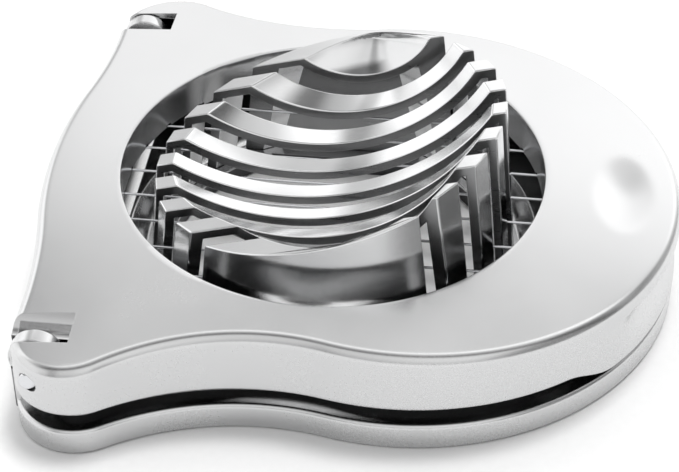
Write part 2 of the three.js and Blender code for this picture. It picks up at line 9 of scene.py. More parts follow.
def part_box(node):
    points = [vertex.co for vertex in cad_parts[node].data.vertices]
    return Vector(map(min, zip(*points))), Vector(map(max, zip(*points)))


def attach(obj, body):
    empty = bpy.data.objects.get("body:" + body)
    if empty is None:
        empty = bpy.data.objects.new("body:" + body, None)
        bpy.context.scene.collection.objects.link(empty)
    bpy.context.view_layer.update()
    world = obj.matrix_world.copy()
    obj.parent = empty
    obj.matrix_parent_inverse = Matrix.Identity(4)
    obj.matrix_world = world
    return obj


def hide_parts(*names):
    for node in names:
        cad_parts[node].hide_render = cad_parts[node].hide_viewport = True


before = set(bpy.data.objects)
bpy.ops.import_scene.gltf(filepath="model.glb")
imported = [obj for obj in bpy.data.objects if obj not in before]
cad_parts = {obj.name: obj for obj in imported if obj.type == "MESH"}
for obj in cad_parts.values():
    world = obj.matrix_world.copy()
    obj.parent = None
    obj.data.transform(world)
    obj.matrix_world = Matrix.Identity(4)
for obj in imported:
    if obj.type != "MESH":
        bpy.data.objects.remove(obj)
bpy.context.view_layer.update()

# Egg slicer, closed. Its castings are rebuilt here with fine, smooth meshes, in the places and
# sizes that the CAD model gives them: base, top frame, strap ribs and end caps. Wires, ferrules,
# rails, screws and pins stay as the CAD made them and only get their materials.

# ------------------------------------------------------------------ driving sizes (millimetres)
# Plan places are about the window's axis, and heights are over the table.

MM = 0.001
# Clearance between neighbouring pieces.
GAP = 0.3
# Reaches past the object's edge in every direction.
BEYOND = 60.0

# Outline in plan: four round arcs, as centre and radius, joined by hollow ones.
THUMB_ARC = (14.2, 0.0, 48.2)
HORN_ARC = (-37.8, 45.6, 10.3)
HEEL_ARC = (46.6, 0.0, 98.4)
WAIST_RADIUS = 47.0
HEEL_BLEND_RADIUS = 93.0

# Top frame.
SKIRT_BOTTOM = 8.9
SKIRT_WALL = 2.2
CROWN_RADIUS = 524.0
PLATE_THICKNESS = 2.4
EDGE_ROUND = 1.7
WINDOW_RADIUS = 38.0
WINDOW_WALL = 2.0
WINDOW_WALL_BOTTOM = 14.0
SMALL_RADIUS = 0.35
# Steps of a small rounded edge, each as inset and rise.
SMALL_ROUND = ((SMALL_RADIUS, 0.0), (0.1, 0.1), (0.0, SMALL_RADIUS))
HORN = {"end_x": -35.5, "inner_y": 39.5, "top": 17.8, "inset": 1}
# Oval rest for the thumb, pressed into the crown.
THUMB_REST = {"x": 52.0, "half_x": 5.6, "half_y": 11.4, "depth": 1.05, "fade": 1.7}
# Finger grip in the thumb end's wall, where the skirt also reaches lower.
GRIP = {"depth": 2.4, "lip": 3.0, "foot": 3.6, "start_x": 51, "full_x": 59}
SKIRT_DROP = {"depth": 3.2, "start_x": 44, "full_x": 52}
BOSS = {"y": 29.6, "radius": 2.9, "top": 19.2, "bore_radius": 1.25, "bore_length": 3.8}
WIRE_NOTCH = 0.55

# Hinge.
LUG_RADIUS = 4.6
LUG_Y = (46.0, 48.9)
LUG_SOFTENING = 0.3
WEB_HALF_WIDTH = 4.3
WEB_FOOT = 3
SLOT_Y = (45.7, 49.2)
SLOT_END_X = -37.6
SLOT_TOP = 30
BORE_CLEARANCE = 0.1
# Hollow in the frame's top beside each lug: middle and half sizes of its oval section.
SCOOP = {"y": 46.2, "z": 23.4, "half_y": 4.4, "half_z": 7.0}
HEEL_SWEEP = 8.45
HEEL_WIDTH = 130

# Base.
FLANGE_TOP = 5.2
FLANGE_ROUND = 0.8
DECK_TOP = 7.6
DECK_INSET = 4.35
DECK_INNER_RADIUS = 37.3
RING_TOP = 3.5
HEEL_SEAT = {"half_width": 24.0, "top": 12}
# Hollows in the underside: one right under the flange, and a deeper one under the deck.
RIM_HOLLOW = {"inset": 2.6, "inner_radius": 36.5, "top": 2.8}
DECK_HOLLOW = {"inset": 6.4, "inner_radius": 39.5, "top": 5.4, "start_x": -35.5, "full_x": -32.5}

# Cradle. Its legs reach a hair into the base's ring, so that no gap shows.
CRADLE_FOOT = RING_TOP - 0.05
RIB_WALL = 1.6
STRAP = 1.9
RIB_SOFTENING = 0.28
TILT_HEIGHT = 28.64
TILT_SLOPE = 0.276
TILT = math.atan(TILT_SLOPE)
CRADLE_RADIUS = 33.8
CRADLE_DRAFT = 0.09
CAP_RADIUS = 34.0
CAP_DRAFT = 0.06
CAP_DROP = 0.5
CAP_POCKET = 2.0
CAP_SOFTENING = 0.2
# Least height that a leg's inner face keeps below the strap where the two meet.
CORNER_DROP = 0.6
# Egg bowl. Towards its two sides it gets shorter and shallower, and moves up the slope.
BOWL = {"half_length": 28.5, "half_width": 31.8, "depth": 12.4, "middle": -0.5}
BOWL_SHIFT = {"x": 3.5, "start_y": 13, "full_y": 24}

wire_low, wire_high = (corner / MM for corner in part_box("cutting_wire_1"))
WINDOW_X = (wire_low.x + wire_high.x) / 2
WIRE_HEIGHT = (wire_low.z + wire_high.z) / 2


def node_box(node):
    """Lowest and highest corner of a CAD node in millimetres, about the window's axis."""
    low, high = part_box(node)
    shift = Vector((WINDOW_X, 0, 0))
    return (low / MM - shift, high / MM - shift)


pin_low, pin_high = node_box("hinge_pin_rear")
HINGE_X = (pin_low.x + pin_high.x) / 2
HINGE_Z = (pin_low.z + pin_high.z) / 2
PIN_INNER_Y = pin_low.y
BORE_RADIUS = (pin_high.x - pin_low.x) / 2 + BORE_CLEARANCE
RIM_RADIUS = WINDOW_RADIUS + 0.3
RIM_DROP = CROWN_RADIUS - math.sqrt(CROWN_RADIUS**2 - RIM_RADIUS**2)
CROWN = node_box("top_frame")[1].z + RIM_DROP
RIBS = [f"cradle_rib_{i}" for i in range(1, 8)]
WIRES = [f"cutting_wire_{i}" for i in range(1, 9)]
RAILS = ("wire_rail_hinge_side", "wire_rail_thumb_side")


# ------------------------------------------------------------------ small helpers


def smoothstep(value, low, high):
    t = min(max((value - low) / (high - low), 0.0), 1.0)
    return t * t * (3 - 2 * t)


def lerp(a, b, t):
    return a + (b - a) * t


def new_object(name, points, faces):
    """Object from points in millimetres about the window's axis."""
    mesh = bpy.data.meshes.new(name)
    mesh.from_pydata([((x + WINDOW_X) * MM, y * MM, z * MM) for x, y, z in points], [], faces)
    mesh.validate()
    obj = bpy.data.objects.new(name, mesh)
    bpy.context.scene.collection.objects.link(obj)
    return obj


def apply_modifiers(obj):
    graph = bpy.context.evaluated_depsgraph_get()
    mesh = bpy.data.meshes.new_from_object(obj.evaluated_get(graph))
    obj.modifiers.clear()
    old = obj.data
    obj.data = mesh
    bpy.data.meshes.remove(old)
    return obj


# Faces that meet at less than this many degrees are shaded as one surface.
SMOOTH_ANGLE = 32


def settle(obj, angle=SMOOTH_ANGLE):
    """Applies the modifiers, then shades smooth up to an angle between faces, in degrees."""
    apply_modifiers(obj)
    obj.data.shade_smooth()
    obj.data.set_sharp_from_angle(angle=math.radians(angle))
    return obj


def combine(obj, other, operation="DIFFERENCE"):
    """Cuts obj with other, joins other to it or keeps what they share. other is used up."""
    modifier = obj.modifiers.new("combine", "BOOLEAN")
    modifier.operation = operation
    modifier.solver = "EXACT"
    modifier.object = other
    settle(obj)
    bpy.data.objects.remove(other)
    return obj


def join(obj, others):
    """Moves the faces of others into obj's mesh."""
    work = bmesh.new()
    work.from_mesh(obj.data)
    for other in others:
        work.from_mesh(other.data)
        bpy.data.objects.remove(other)
    work.to_mesh(obj.data)
    work.free()
    obj.data.set_sharp_from_angle(angle=math.radians(SMOOTH_ANGLE))
    return obj


def block(x0, x1, y0, y1, z0, z1):
    """Box between two planes along each axis."""
    points = [(x, y, z) for x in (x0, x1) for y in (y0, y1) for z in (z0, z1)]
    faces = [(0, 1, 3, 2), (4, 6, 7, 5), (0, 4, 5, 1), (2, 3, 7, 6), (0, 2, 6, 4), (1, 5, 7, 3)]
    return new_object("block", points, faces)


def cylinder(radius, centre, axis, length, steps=64):
    """Solid cylinder about centre, with its axis along "X", "Y" or "Z"."""
    points = []
    for end in (-length / 2, length / 2):
        for i in range(steps):
            a = 2 * math.pi * i / steps
            u, v = radius * math.cos(a), radius * math.sin(a)
            local = {"X": (end, u, v), "Y": (v, end, u), "Z": (u, v, end)}[axis]
            points.append(tuple(c + d for c, d in zip(centre, local)))
    sides = [(i, (i + 1) % steps, (i + 1) % steps + steps, i + steps) for i in range(steps)]
    caps = [tuple(reversed(range(steps))), tuple(range(steps, 2 * steps))]
    return new_object("cylinder", points, sides + caps)


def ring_mesh(name, loops):
    """Closed ring through a row of closed loops, the last of which joins the first again."""
    count = len(loops[0])
    points = [p for loop in loops for p in loop]
    faces = []
    for s in range(len(loops)):
        t = (s + 1) % len(loops)
        for i in range(count):
            j = (i + 1) % count
            faces.append((s * count + i, s * count + j, t * count + j, t * count + i))
    return new_object(name, points, faces)


def loft_mesh(name, sections):
    """Closed solid through a row of closed sections with the same number of points each."""
    count = len(sections[0])
    points = [p for section in sections for p in section]
    faces = []
    for s in range(len(sections) - 1):
        for i in range(count):
            j = (i + 1) % count
            faces.append((s * count + i, s * count + j, (s + 1) * count + j, (s + 1) * count + i))
    last = (len(sections) - 1) * count
    faces.append(tuple(reversed(range(count))))
    faces.append(tuple(range(last, last + count)))
    return new_object(name, points, faces)


def outwards(obj):
    """Turns every face of a closed mesh outwards."""
    work = bmesh.new()
    work.from_mesh(obj.data)
    bmesh.ops.recalc_face_normals(work, faces=work.faces)
    work.to_mesh(obj.data)
    work.free()
    return obj


# ------------------------------------------------------------------ outline


def hollow_between(a, b, radius):
    """Hollow arc that touches the round arcs a and b from outside, met after a on the way round."""
    dx, dy = b[0] - a[0], b[1] - a[1]
    distance = math.hypot(dx, dy)
    along = ((a[2] + radius) ** 2 - (b[2] + radius) ** 2 + distance**2) / (2 * distance)
    across = math.sqrt((a[2] + radius) ** 2 - along**2)
    x = a[0] + (dx * along + dy * across) / distance
    y = a[1] + (dy * along - dx * across) / distance
    return (x, y, radius)


WAIST_ARC = hollow_between(THUMB_ARC, HORN_ARC, WAIST_RADIUS)
HEEL_BLEND_ARC = hollow_between(HORN_ARC, HEEL_ARC, HEEL_BLEND_RADIUS)
# The outline has this many points for each one of the CAD model's.
FINENESS = 4


def bearing(a, b):
    """Direction from one arc's centre to another's."""
    return math.atan2(b[1] - a[1], b[0] - a[0])


def outline(inset):
    """Outline moved inwards by inset, counter-clockwise from the thumb end, as (x, y) points."""
    half = []

    def add_arc(arc, start, end, steps, hollow=False):
        radius = arc[2] + inset if hollow else arc[2] - inset
        if hollow and end > start:
            end -= 2 * math.pi
        if not hollow and end < start:
            end += 2 * math.pi
        for i in range(1 if half else 0, steps * FINENESS + 1):
            a = lerp(start, end, i / (steps * FINENESS))
            half.append((arc[0] + radius * math.cos(a), arc[1] + radius * math.sin(a)))

    blend = HEEL_BLEND_ARC
    add_arc(THUMB_ARC, 0, bearing(THUMB_ARC, WAIST_ARC), 17)
    add_arc(WAIST_ARC, bearing(WAIST_ARC, THUMB_ARC), bearing(WAIST_ARC, HORN_ARC), 7, True)
    add_arc(HORN_ARC, bearing(HORN_ARC, WAIST_ARC), bearing(HORN_ARC, blend), 11)
    add_arc(blend, bearing(blend, HORN_ARC), bearing(blend, HEEL_ARC), 5, True)
    add_arc(HEEL_ARC, bearing(HEEL_ARC, blend), math.pi, 4)
    return half + [(x, -y) for x, y in reversed(half[1:-1])]


EDGE = outline(0)
BEARINGS = [math.atan2(y, x) for x, y in EDGE]
# The same bearings from 0 to a full turn, in rising order.
TURNS = [a % (2 * math.pi) for a in BEARINGS]
EDGE_RADII = [math.hypot(x, y) for x, y in EDGE]


def circle(radius):
    """Circle about the window's axis with one point abreast of each point of the outline."""
    return [(radius * math.cos(a), radius * math.sin(a)) for a in BEARINGS]


def between(a, b, t):
    return [(lerp(p[0], q[0], t), lerp(p[1], q[1], t)) for p, q in zip(a, b)]


def lift(loop, height):
    """Loop at a height: a number, or a function of x, y and the point's number."""
    if callable(height):
        return [(x, y, height(x, y, i)) for i, (x, y) in enumerate(loop)]
    return [(x, y, height) for x, y in loop]


def outline_prism(inset, z0, z1):
    """Solid between two heights with the outline's shape."""
    loop = outline(inset)
    return loft_mesh("prism", [lift(loop, z0), lift(loop, z1)])


# ------------------------------------------------------------------ finish of the faces and their painted shade


def soften(obj, width, angle=35):
    """Rounds the hard edges."""
    modifier = obj.modifiers.new("soften", "BEVEL")
    modifier.width = width * MM
    modifier.segments = 3
    modifier.limit_method = "ANGLE"
    modifier.angle_limit = math.radians(angle)
    modifier.use_clamp_overlap = False
    return settle(obj, 40)


def even_shading(obj):
    """Lets large faces keep their own direction next to small ones."""
    modifier = obj.modifiers.new("even", "WEIGHTED_NORMAL")
    modifier.mode = "FACE_AREA"
    modifier.weight = 100
    modifier.keep_sharp = True
    return apply_modifiers(obj)


# Share of the rough cast skin and its darker colour that upright faces get: the darker colour is
# painted shade on faces that turn away from the top.
UPRIGHT_SKIN_AND_SHADE = 0.2


def mark_cast_skin_and_shade(obj, rule):
    """Notes on each face how much rough cast skin and painted shade it gets: all (1) to none,
    polished (0).
    """
    marks = obj.data.attributes.new("cast_skin_and_shade", "FLOAT", "FACE")
    for polygon in obj.data.polygons:
        place = polygon.center / MM - Vector((WINDOW_X, 0, 0))
        # Faces turned away from the top get part of the darker cast colour: painted shade by
        # facing.
        skin = UPRIGHT_SKIN_AND_SHADE * (1 - smoothstep(polygon.normal.z, 0.0, 0.8))
        in_window = place.z > DECK_TOP and place.xy.length < WINDOW_RADIUS + 0.5
        if rule(place, polygon.normal):
            skin = 1.0
        elif in_window:
            skin = 0.0
        marks.data[polygon.index].value = skin


def faces_outside(place, normal, reach=3.0):
    """True if a step along the normal leaves the outline."""
    x, y = place.x + normal.x * reach, place.y + normal.y * reach
    bearing_now = math.atan2(y, x) % (2 * math.pi)
    nearest = min(bisect.bisect(TURNS, bearing_now), len(TURNS) - 1)
    return math.hypot(x, y) > EDGE_RADII[nearest]


def cradle_is_cast_skin_and_shade(place, normal):
    """Faces that get the rough cast skin and painted shade: flanks, undersides and the inner faces
    of the legs.
    """
    across = math.hypot(place.x, place.y)
    outward = (normal.x * place.x + normal.y * place.y) / across
    outer_leg = across > 30.7 and outward > 0.7
    if outer_leg:
        return False
    inner_leg = abs(normal.x) > 0.9 and outward < 0
    return abs(normal.y) > 0.95 or normal.z < -0.3 or inner_leg


def frame_is_cast_skin_and_shade(place, normal):
    """Faces that get the rough cast skin and painted shade: undersides, and the inside of the
    plate, the skirt and the slots.
    """
    in_scoop = place.x < SLOT_END_X + 0.1 and abs(place.y) > 41 and place.z > 15
    in_grip = place.x > 46 and normal.x > 0.1
    if in_scoop or in_grip:
        return normal.z < -0.7
    if normal.z > 0.3:
        return place.z < WINDOW_WALL_BOTTOM
    on_window_wall = math.hypot(place.x, place.y) < WINDOW_RADIUS + 0.4
    if on_window_wall:
        return normal.z < -0.9
    return normal.z < -0.7 or not faces_outside(place, normal)


def base_is_cast_skin_and_shade(place, normal):
    """Faces that get the rough cast skin and painted shade: undersides, the step's wall and what
    faces inwards, but not the well or the lugs.
    """
    on_lug = place.z > DECK_TOP + 1
    if normal.z > 0.3 or on_lug:
        return False
    in_well = RING_TOP < place.z < DECK_TOP and 33 < math.hypot(place.x, place.y) < 37.8
    if in_well:
        return False
    return normal.z < -0.7 or place.z > FLANGE_TOP or not faces_outside(place, normal, 1.5)


# ------------------------------------------------------------------ top frame


def quarter_round(radius, steps):
    """Steps up a rounded edge, each as inset from the wall and drop below the top."""
    angles = [math.pi / 2 * s / steps for s in range(steps + 1)]
    return [(radius * (1 - math.cos(a)), radius * (1 - math.sin(a))) for a in angles]


def crown(x, y, _i=0):
    """Height of the frame's crowned top."""
    return CROWN - CROWN_RADIUS + math.sqrt(CROWN_RADIUS**2 - x * x - y * y)


def crown_with_rest(x, y, _i=0):
    """The crowned top with the shallow oval rest for the thumb pressed into it."""
    q = ((x - THUMB_REST["x"]) / THUMB_REST["half_x"]) ** 2 + (y / THUMB_REST["half_y"]) ** 2
    sunk = THUMB_REST["depth"] * (1 - q) ** THUMB_REST["fade"] if q < 1 else 0
    return crown(x, y) - sunk


def grip_at(x):
    """How much of the finger grip's depth the wall has: none (0) to all (1)."""
    return smoothstep(x, GRIP["start_x"], GRIP["full_x"])


def skirt_bottom(i):
    """Height of the skirt's foot at a point of the outline."""
    reached = smoothstep(EDGE[i][0], SKIRT_DROP["start_x"], SKIRT_DROP["full_x"])
    return SKIRT_BOTTOM - SKIRT_DROP["depth"] * reached


def frame_wall_loops():
    """Outer wall from the skirt's rounded foot up to the lip over the finger grip."""
    one_inside = outline(1)
    steps = 18
    loops = []
    for inset, rise in SMALL_ROUND:
        loops.append(lift(outline(inset), lambda x, y, i, r=rise: skirt_bottom(i) + r))
    for s in range(1, steps + 1):
        share = s / steps
        sunk = GRIP["depth"] * math.sin(math.pi * share**1.8)
        loop = []
        for i, (p, q) in enumerate(zip(EDGE, one_inside)):
            t = sunk * grip_at(p[0])
            z = lerp(skirt_bottom(i) + SMALL_RADIUS, crown(*p) - GRIP["lip"], share)
            loop.append((lerp(p[0], q[0], t), lerp(p[1], q[1], t), z))
        loops.append(loop)
    return loops


def frame_top_loops():
    """Rounded edge and crowned top, from the outer wall in to the window's rim."""
    loops = [lift(EDGE, lambda x, y, i: crown(x, y) - EDGE_ROUND - 0.4)]
    for inset, drop in quarter_round(EDGE_ROUND, 10):
        loops.append(lift(outline(inset), lambda x, y, i, d=drop: crown_with_rest(x, y) - d))
    shoulder = outline(EDGE_ROUND)
    rim = circle(WINDOW_RADIUS + SMALL_RADIUS)
    steps = 26
    for s in range(1, steps + 1):
        loops.append(lift(between(shoulder, rim, s / steps), crown_with_rest))
    for inset, drop in SMALL_ROUND[1:]:
        loops.append(lift(circle(WINDOW_RADIUS + inset), lambda x, y, i, d=drop: crown(x, y) - d))
    return loops


def frame_inside_loops():
    """Window's wall, the plate's underside and the skirt's inner face."""
    top = crown(WINDOW_RADIUS, 0) - SMALL_RADIUS
    bottom = WINDOW_WALL_BOTTOM
    back = circle(WINDOW_RADIUS + WINDOW_WALL)
    steps = 6
    loops = []
    for s in range(1, steps + 1):
        loops.append(lift(circle(WINDOW_RADIUS), lerp(top, bottom + 0.3, s / steps)))
    loops.append(lift(circle(WINDOW_RADIUS + 0.3), bottom))
    loops.append(lift(back, bottom))
    loops.append(lift(back, lambda x, y, i: crown(x, y) - PLATE_THICKNESS))
    foot = outline(SKIRT_WALL)
    deep = outline(SKIRT_WALL + GRIP["depth"])
    inside = []
    for i, (p, q) in enumerate(zip(foot, deep)):
        t = grip_at(EDGE[i][0])
        inside.append((lerp(p[0], q[0], t), lerp(p[1], q[1], t)))
    loops.append(lift(inside, lambda x, y, i: crown(x, y) - PLATE_THICKNESS))
    loops.append(lift(inside, lambda x, y, i: skirt_bottom(i) + GRIP["foot"]))
    loops.append(lift(foot, lambda x, y, i: skirt_bottom(i)))
    return loops


def scoop(side):
    """Hollow in the frame's top beside a lug, open to the slot and at the heel."""
    steps = 128
    sections = []
    for x in (-BEYOND - 2, SLOT_END_X):
        section = []
        for i in range(steps):
            a = 2 * math.pi * i / steps
            y = SCOOP["y"] * side + SCOOP["half_y"] * math.cos(a)
            section.append((x, y, SCOOP["z"] + SCOOP["half_z"] * math.sin(a)))
        sections.append(section)
    trough = outwards(loft_mesh("scoop", sections))
    low, high = sorted((0, (SLOT_Y[0] + 0.1) * side))
    beside_slot = block(-BEYOND - 3, SLOT_END_X + 1, low, high, 0, SCOOP["z"])
    return combine(trough, beside_slot, "INTERSECT")


def hinge_cuts(obj):
    """Slots for the base's lugs, bores for the pins, and the rounded heel."""
    for side in (-1, 1):
        low, high = sorted((SLOT_Y[0] * side, SLOT_Y[1] * side))
        combine(obj, block(-BEYOND, SLOT_END_X, low, high, 0, SLOT_TOP))
        combine(obj, scoop(side))
        inner = PIN_INNER_Y - GAP
        length = BEYOND - inner
        centre = (HINGE_X, (inner + length / 2) * side, HINGE_Z)
        combine(obj, cylinder(BORE_RADIUS, centre, "Y", length))
    corner = block(-BEYOND, HINGE_X, -BEYOND, BEYOND, 0, HINGE_Z)
    combine(corner, cylinder(HEEL_SWEEP, (HINGE_X, 0, HINGE_Z), "Y", HEEL_WIDTH, 128))
    combine(obj, corner)
    return obj


def build_horn(side):
    """Solid filling of a horn's shell, with the hinge's cuts in it."""
    low, high = sorted((HORN["inner_y"] * side, BEYOND * side))
    horn = block(-BEYOND, HORN["end_x"], low, high, SKIRT_BOTTOM, HORN["top"])
    combine(horn, outline_prism(HORN["inset"], SKIRT_BOTTOM, HORN["top"]), "INTERSECT")
    return hinge_cuts(horn)


def build_boss(rail, side):
    """Boss over one end of a rail, with the bore for its screw."""
    low, high = node_box(rail)
    x, y = (low.x + high.x) / 2, BOSS["y"] * side
    foot, top = high.z + GAP, BOSS["top"]
    boss = cylinder(BOSS["radius"], (x, y, (foot + top) / 2), "Z", top - foot)
    bore = cylinder(BOSS["bore_radius"], (x, y, high.z), "Z", BOSS["bore_length"], 32)
    return combine(boss, bore)


def build_top_frame():
    loops = frame_wall_loops() + frame_top_loops() + frame_inside_loops()
    shell = ring_mesh("top_frame_skin", loops)
    hinge_cuts(shell)
    notch_x, notch_bottom = WINDOW_RADIUS + 3, WINDOW_WALL_BOTTOM - 1
    for wire in WIRES:
        low, high = node_box(wire)
        y = (low.y + high.y) / 2
        y0, y1, top = y - WIRE_NOTCH, y + WIRE_NOTCH, WIRE_HEIGHT + WIRE_NOTCH
        combine(shell, block(-notch_x, notch_x, y0, y1, notch_bottom, top))
    horns = [build_horn(side) for side in (-1, 1)]
    bosses = [build_boss(rail, side) for rail in RAILS for side in (-1, 1)]
    join(shell, horns + bosses)
    mark_cast_skin_and_shade(shell, frame_is_cast_skin_and_shade)
    return even_shading(shell)


# ------------------------------------------------------------------ base


def hollow_height(x, _y, _i):
    """Ceiling of the hollow under the deck, which gets lower towards the heel."""
    reached = smoothstep(x, DECK_HOLLOW["start_x"], DECK_HOLLOW["full_x"])
    return lerp(RIM_HOLLOW["top"], DECK_HOLLOW["top"], reached)


def passage(radius):
    """Drain passage under the cradle: a circle cut flat under the two end caps."""
    flat = node_box("cradle_cap_rear")[0].y - 1
    loop = []
    for x, y in circle(radius):
        share = flat / max(abs(y), flat)
        loop.append((x * share, y * share))
    return loop


def base_outside_loops():
    """From the foot over the flange and the step up to the deck's inner edge."""
    profile = [(0.6, 0.0), (0.2, 0.15), (0.0, 0.6)]
    profile += [(inset, FLANGE_TOP - drop) for inset, drop in quarter_round(FLANGE_ROUND, 5)]
    profile += [(2.4, FLANGE_TOP), (3.7, FLANGE_TOP)]
    profile += [(3.92, FLANGE_TOP + 0.1), (4.0, FLANGE_TOP + 0.4)]
    profile += [(4.0, DECK_TOP - 0.35), (4.1, DECK_TOP - 0.1), (DECK_INSET, DECK_TOP)]
    loops = [lift(outline(inset), height) for inset, height in profile]
    edge, deck_edge = outline(DECK_INSET), circle(DECK_INNER_RADIUS)
    for share in (0.25, 0.5, 0.75, 1.0):
        loops.append(lift(between(edge, deck_edge, share), DECK_TOP))
    return loops


def base_well_loops():
    """From the deck's inner edge down the well's curved wall and through the passage."""
    loops = [lift(circle(37.08), DECK_TOP - 0.08)]
    steps = 8
    a, b, c = (37.0, DECK_TOP - 0.3), (36.4, RING_TOP + 0.8), (34.2, RING_TOP)
    for s in range(steps + 1):
        t = s / steps
        weights = ((1 - t) ** 2, 2 * t * (1 - t), t * t)
        r, z = (sum(w * p[k] for w, p in zip(weights, (a, b, c))) for k in (0, 1))
        loops.append(lift(circle(r), z))
    for radius, height in (
        (30.2, RING_TOP),
        (29.9, RING_TOP - 0.1),
        (29.8, RING_TOP - 0.4),
        (29.8, 0.3),
        (30.1, 0.0),
    ):
        loops.append(lift(passage(radius), height))
    return loops


def base_under_loops():
    """Underside from the ring's foot out to the rim: the two hollows."""
    rim_top = RIM_HOLLOW["top"]
    ring = circle(RIM_HOLLOW["inner_radius"])
    rim = outline(RIM_HOLLOW["inset"])
    inner = outline(DECK_HOLLOW["inset"])
    hollow = []
    for (x, y), (u, v) in zip(circle(DECK_HOLLOW["inner_radius"]), inner):
        shrink = min(1.0, (math.hypot(u, v) - 0.4) / DECK_HOLLOW["inner_radius"])
        hollow.append((x * shrink, y * shrink))
    return [
        lift(ring, 0.0),
        lift(ring, rim_top),
        lift(hollow, rim_top),
        lift(hollow, hollow_height),
        lift(inner, hollow_height),
        lift(inner, rim_top),
        lift(rim, rim_top),
        lift(rim, 0.0),
    ]


def build_lug(side):
    """Round hinge lug on its web, with the bore for a pin."""
    low, high = sorted((LUG_Y[0] * side, LUG_Y[1] * side))
    centre = (HINGE_X, (low + high) / 2, HINGE_Z)
    x0, x1 = HINGE_X - WEB_HALF_WIDTH, HINGE_X + WEB_HALF_WIDTH
    lug = cylinder(LUG_RADIUS, centre, "Y", high - low, 128)
    combine(lug, block(x0, x1, low, high, WEB_FOOT, HINGE_Z), "UNION")
    combine(lug, cylinder(BORE_RADIUS, centre, "Y", 8))
    return soften(lug, LUG_SOFTENING)


def build_base():
    loops = base_outside_loops() + base_well_loops() + base_under_loops()
    base = ring_mesh("base_skin", loops)
    combine(base, cylinder(HEEL_SWEEP + GAP, (HINGE_X, 0, HINGE_Z), "Y", HEEL_WIDTH, 128))
    half = HEEL_SEAT["half_width"]
    combine(base, block(-BEYOND, HINGE_X, -half, half, FLANGE_TOP, HEEL_SEAT["top"]))
    join(base, [build_lug(side) for side in (-1, 1)])
    mark_cast_skin_and_shade(base, base_is_cast_skin_and_shade)
    return even_shading(base)


# ------------------------------------------------------------------ cradle


def bowl_section(y):
    """Arc of the bowl at y: half its chord, its depth, its middle along the slope, its radius."""
    reach = abs(y) / BOWL["half_width"]
    half_chord = BOWL["half_length"] * (1 - reach**1.6) ** 0.6
    depth = BOWL["depth"] * (1 - reach**1.8) ** 0.5
    shifted = smoothstep(abs(y), BOWL_SHIFT["start_y"], BOWL_SHIFT["full_y"])
    middle = BOWL_SHIFT["x"] * shifted + BOWL["middle"]
    radius = (half_chord**2 + depth**2) / (2 * depth)
    return half_chord, depth, middle, radius


def on_tilt(along, sunk, y):
    """Point sunk below the cradle's sloping top plane."""
    x = along + sunk * math.sin(TILT)
    return (x, y, TILT_HEIGHT + along * TILT_SLOPE - sunk * math.cos(TILT))


def bowl_arc(y, steps=56):
    """Points of the bowl's arc at y, from the hinge side to the thumb side."""
    half_chord, depth, middle, radius = bowl_section(y)
    half = math.asin(half_chord / radius)
    points = []
    for i in range(steps + 1):
        a = half * (2 * i / steps - 1)
        sunk = radius * math.cos(a) - (radius - depth)
        points.append(on_tilt(middle + radius * math.sin(a), sunk, y))
    return points


def cradle_x(z, y, wall):
    """Distance of the cradle's drafted outside from the middle, less a wall."""
    return math.sqrt((CRADLE_RADIUS - CRADLE_DRAFT * z - wall) ** 2 - y * y)


def rib_corner(y, wall, sunk, end):
    """Where a leg's face meets the sloping top plane, or a plane sunk below it."""
    x = end * 30
    for _ in range(8):
        z = TILT_HEIGHT + TILT_SLOPE * x - sunk / math.cos(TILT)
        x = end * cradle_x(z, y, wall)
    return (x, y, TILT_HEIGHT + TILT_SLOPE * x - sunk / math.cos(TILT))


def leg_point(y, wall, end, z):
    """Point at height z on a leg's outer face, or a wall inside it."""
    return (end * cradle_x(z, y, wall), y, z)


def rib_underside(y, steps=56):
    """Underside of the strap, from one leg to the other, at the strap's thickness."""
    _, depth, middle, radius = bowl_section(y)
    arc_radius = radius + STRAP
    half = math.acos((radius - depth + STRAP) / arc_radius)

    def arc_at(angle):
        sunk = arc_radius * math.cos(angle) - (radius - depth)
        return on_tilt(middle + arc_radius * math.sin(angle), sunk, y)

    def past_leg(point):
        return abs(point[0]) > cradle_x(point[2], y, RIB_WALL)

    def last_angle(end):
        if not past_leg(arc_at(end)):
            return end
        inside, outside = 0.0, end
        for _ in range(24):
            angle = (inside + outside) / 2
            if past_leg(arc_at(angle)):
                outside = angle
            else:
                inside = angle
        return inside

    def corner(end, angle, arc_end):
        if angle == end * half:
            return rib_corner(y, RIB_WALL, STRAP, end)
        return leg_point(y, RIB_WALL, end, arc_end[2] - CORNER_DROP)

    low, high = last_angle(-half), last_angle(half)
    arc = [arc_at(lerp(low, high, i / steps)) for i in range(steps + 1)]
    return [corner(-1, low, arc[0]), *arc, corner(1, high, arc[-1])]


def arch_section(y, foot):
    """Inside of a rib's arch at y, from one foot to the other."""
    return [leg_point(y, RIB_WALL, -1, foot), *rib_underside(y), leg_point(y, RIB_WALL, 1, foot)]


def rib_section(y, foot):
    """Whole outline of a rib at y."""
    upper = [leg_point(y, 0, 1, foot), rib_corner(y, 0, 0, 1)]
    upper += list(reversed(bowl_arc(y)))
    upper += [rib_corner(y, 0, 0, -1), leg_point(y, 0, -1, foot)]
    return upper + arch_section(y, foot)


def build_rib(node):
    """Strap on two legs, with the bowl sunk into its top."""
    low, high = node_box(node)
    sections = [rib_section(y, CRADLE_FOOT) for y in (high.y, low.y)]
    rib = soften(loft_mesh(f"{node}_skin", sections), RIB_SOFTENING)
    mark_cast_skin_and_shade(rib, cradle_is_cast_skin_and_shade)
    return even_shading(rib)


def cap_blank(name, inner, side):
    """Drafted round, higher than the cap, cut off at the cap's inner face."""
    top = 45.0
    steps = 256
    rings = []
    for z in (CRADLE_FOOT, top):
        radius = CAP_RADIUS - CAP_DRAFT * z
        angles = [2 * math.pi * i / steps for i in range(steps)]
        rings.append([(radius * math.cos(a), radius * math.sin(a), z) for a in angles])
    blank = outwards(loft_mesh(name, rings))
    y0, y1 = sorted((inner * side, 40 * side))
    return combine(blank, block(-40, 40, y0, y1, 0, top + 1), "INTERSECT")


